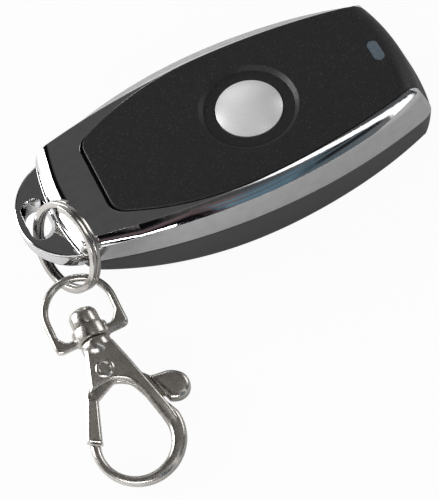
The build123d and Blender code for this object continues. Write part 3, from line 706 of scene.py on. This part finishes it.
plate(shape, [gate], -gate_half, gate_half, gate_edge)
chamfer(
    list(shape.verts),
    foot=gate_corner,
    inward=(5.9, -2.49),
    top=gate_half,
    edge=gate_edge,
    width=0.8,
    drop=0.5,
    low=-9.5,
)
plate(shape, [[(x, y, web_corner) for x, y in web]], -web_half, web_half, web_edge)
tab_start = len(shape.verts)
plate(shape, [tab], -tab_half, tab_half, tab_edge)
shape.verts.ensure_lookup_table()
for vert in shape.verts[tab_start:]:
    depth = (vert.co.xy - Vector(tab_root)).dot(root_inward)
    if depth < root_depth and vert.co.y > root_low:
        vert.co.xy -= root_inward * root_stretch * max(depth, 0.0)
cast(shape, "trigger_casting", "trigger_gate", "trigger", clasp_plate)

# Swivel eye: one casting in the same plating, a round D-shaped loop with webbed shoulders.
# The bored barrel in its foot turns on the hook's post.
eye_middle = (swivel_x, 10.7)
eye_outside_radius = 6.05
eye_inside_radius = 4.9
eye_half = 0.65
eye_edge = 0.55
barrel = [(1.6, 5.3), (2.6, 5.3), (2.85, 5.45), (2.9, 5.7), (2.9, 7.1), (2.85, 7.35), (2.6, 7.5), (1.6, 7.5)]
loop = arc(eye_middle, eye_outside_radius, 0, 180, 48)
loop += [(-5.6, 7.8, 6.0), (-5.65, 5.3, 1.2), (6.55, 5.3, 1.6), (6.5, 7.8, 6.0)]
inside = arc(eye_middle, eye_inside_radius, 0, 180, 48)
inside += [(-4.45, 8.0, 1.0), (-3.5, 6.7, 1.0), (4.1, 6.9, 1.0), (5.3, 8.4, 1.0)]
shape = bmesh.new()
plate(shape, [loop, inside], -eye_half, eye_half, eye_edge)
turned(shape, barrel, swivel_x)
cast(shape, "eye_casting", "swivel_eye", "eye", clasp_plate)

# Rivet: bright nickel-plated tube through the cheeks and the trigger. It is rolled over at both ends into a
# raised ring with a sunk middle.
rolled = [(0.02, 1.4), (0.62, 1.42), (0.72, 1.5), (0.82, 1.85)]
rolled += [(0.98, 2.04), (1.18, 2.07), (1.38, 1.98), (1.5, 1.74)]
tube = [(0.84, -1.7), (0.84, 1.7)]
shape = bmesh.new()
turned(shape, [(radius, -along) for radius, along in rolled] + tube + rolled[::-1], 0.0)
bmesh.ops.rotate(shape, verts=shape.verts, matrix=Matrix.Rotation(math.radians(90), 3, "X"))
rivet_plate = plated(
    "rivet_nickel", (0.66, 0.64, 0.61), (0.74, 0.72, 0.69), rough=0.2, ripple=0.001, edge=0.0
)
cast(shape, "rivet_casting", "trigger_rivet", "hook", rivet_plate)

# Trigger spring: small coil of bright steel wire round the rivet, hidden in the trigger's hub.
# It presses the gate onto the hook's nose.
spring_steel = plated("spring_steel", (0.50, 0.50, 0.48), (0.60, 0.60, 0.58), rough=0.2, ripple=0.002)
wear("trigger_spring", spring_steel)

# Case screws: zinc-plated steel, driven from behind through the back cover's posts into the top cover's
# bosses. They clamp the bezel frame between the two covers.
screw_zinc = plated("screw_zinc", (0.52, 0.52, 0.50), (0.62, 0.62, 0.60), rough=0.28, ripple=0.006)
wear("case_screws", screw_zinc)

# Sheet metal inside the case: the cell's two contacts, the switch's frame and the resonator's can.
# All are stamped from plated steel, and the contacts are bent to spring on the cell's ends.
for node in ("battery_end_contact", "battery_leaf_contact", "switch_frame", "saw_resonator"):
    steel = plated(node + "_steel", (0.60, 0.60, 0.57), (0.70, 0.70, 0.66), rough=0.25, ripple=0.004)
    wear(node, steel)

# Black parts on the board: the switch's body and plunger, the encoder chip and the transistor.
# They are moulded in matt black plastic. All but the plunger, which slides, are fixed to the board.
for node in ("switch_body", "switch_plunger", "encoder_chip", "rf_transistor"):
    black = moulded(
        node + "_black", (0.012, 0.012, 0.013), (0.022, 0.022, 0.023), rough=0.5, grain=0.1, relief=0.004
    )
    wear(node, black)

# Circuit board: glass fibre laminate under green solder resist. The tuning coil of bare copper wire and the
# small brown chip resistors and capacitors are soldered on.
board_green = moulded(
    "board_green", (0.014, 0.11, 0.040), (0.022, 0.15, 0.055), rough=0.3, grain=0.8, relief=0.004
)
wear("circuit_board", board_green)
coil_copper = plated("coil_copper", (0.62, 0.27, 0.11), (0.74, 0.36, 0.16), rough=0.2, ripple=0.002)
wear("tuning_coil", coil_copper)
chip_brown = moulded(
    "chip_brown", (0.26, 0.19, 0.12), (0.36, 0.28, 0.20), rough=0.4, grain=0.2, relief=0.003
)
wear("chip_parts", chip_brown)

# Battery: small round cell in a dark shrink sleeve, held between its two contacts beside the board.
# The sleeve is plain and slightly wavy.
cell_sleeve = moulded(
    "cell_sleeve", (0.020, 0.021, 0.024), (0.032, 0.033, 0.037), rough=0.25, grain=0.6, relief=0.003
)
wear("battery", cell_sleeve)

# Lamp: small smooth red lens with a flange at its foot, cast in one piece.
# It is soldered to the board under its window.
lamp_red = moulded(
    "lamp_red", (0.36, 0.012, 0.010), (0.44, 0.022, 0.016), rough=0.12, grain=0.8, relief=0.001
)
wear("lamp", lamp_red)
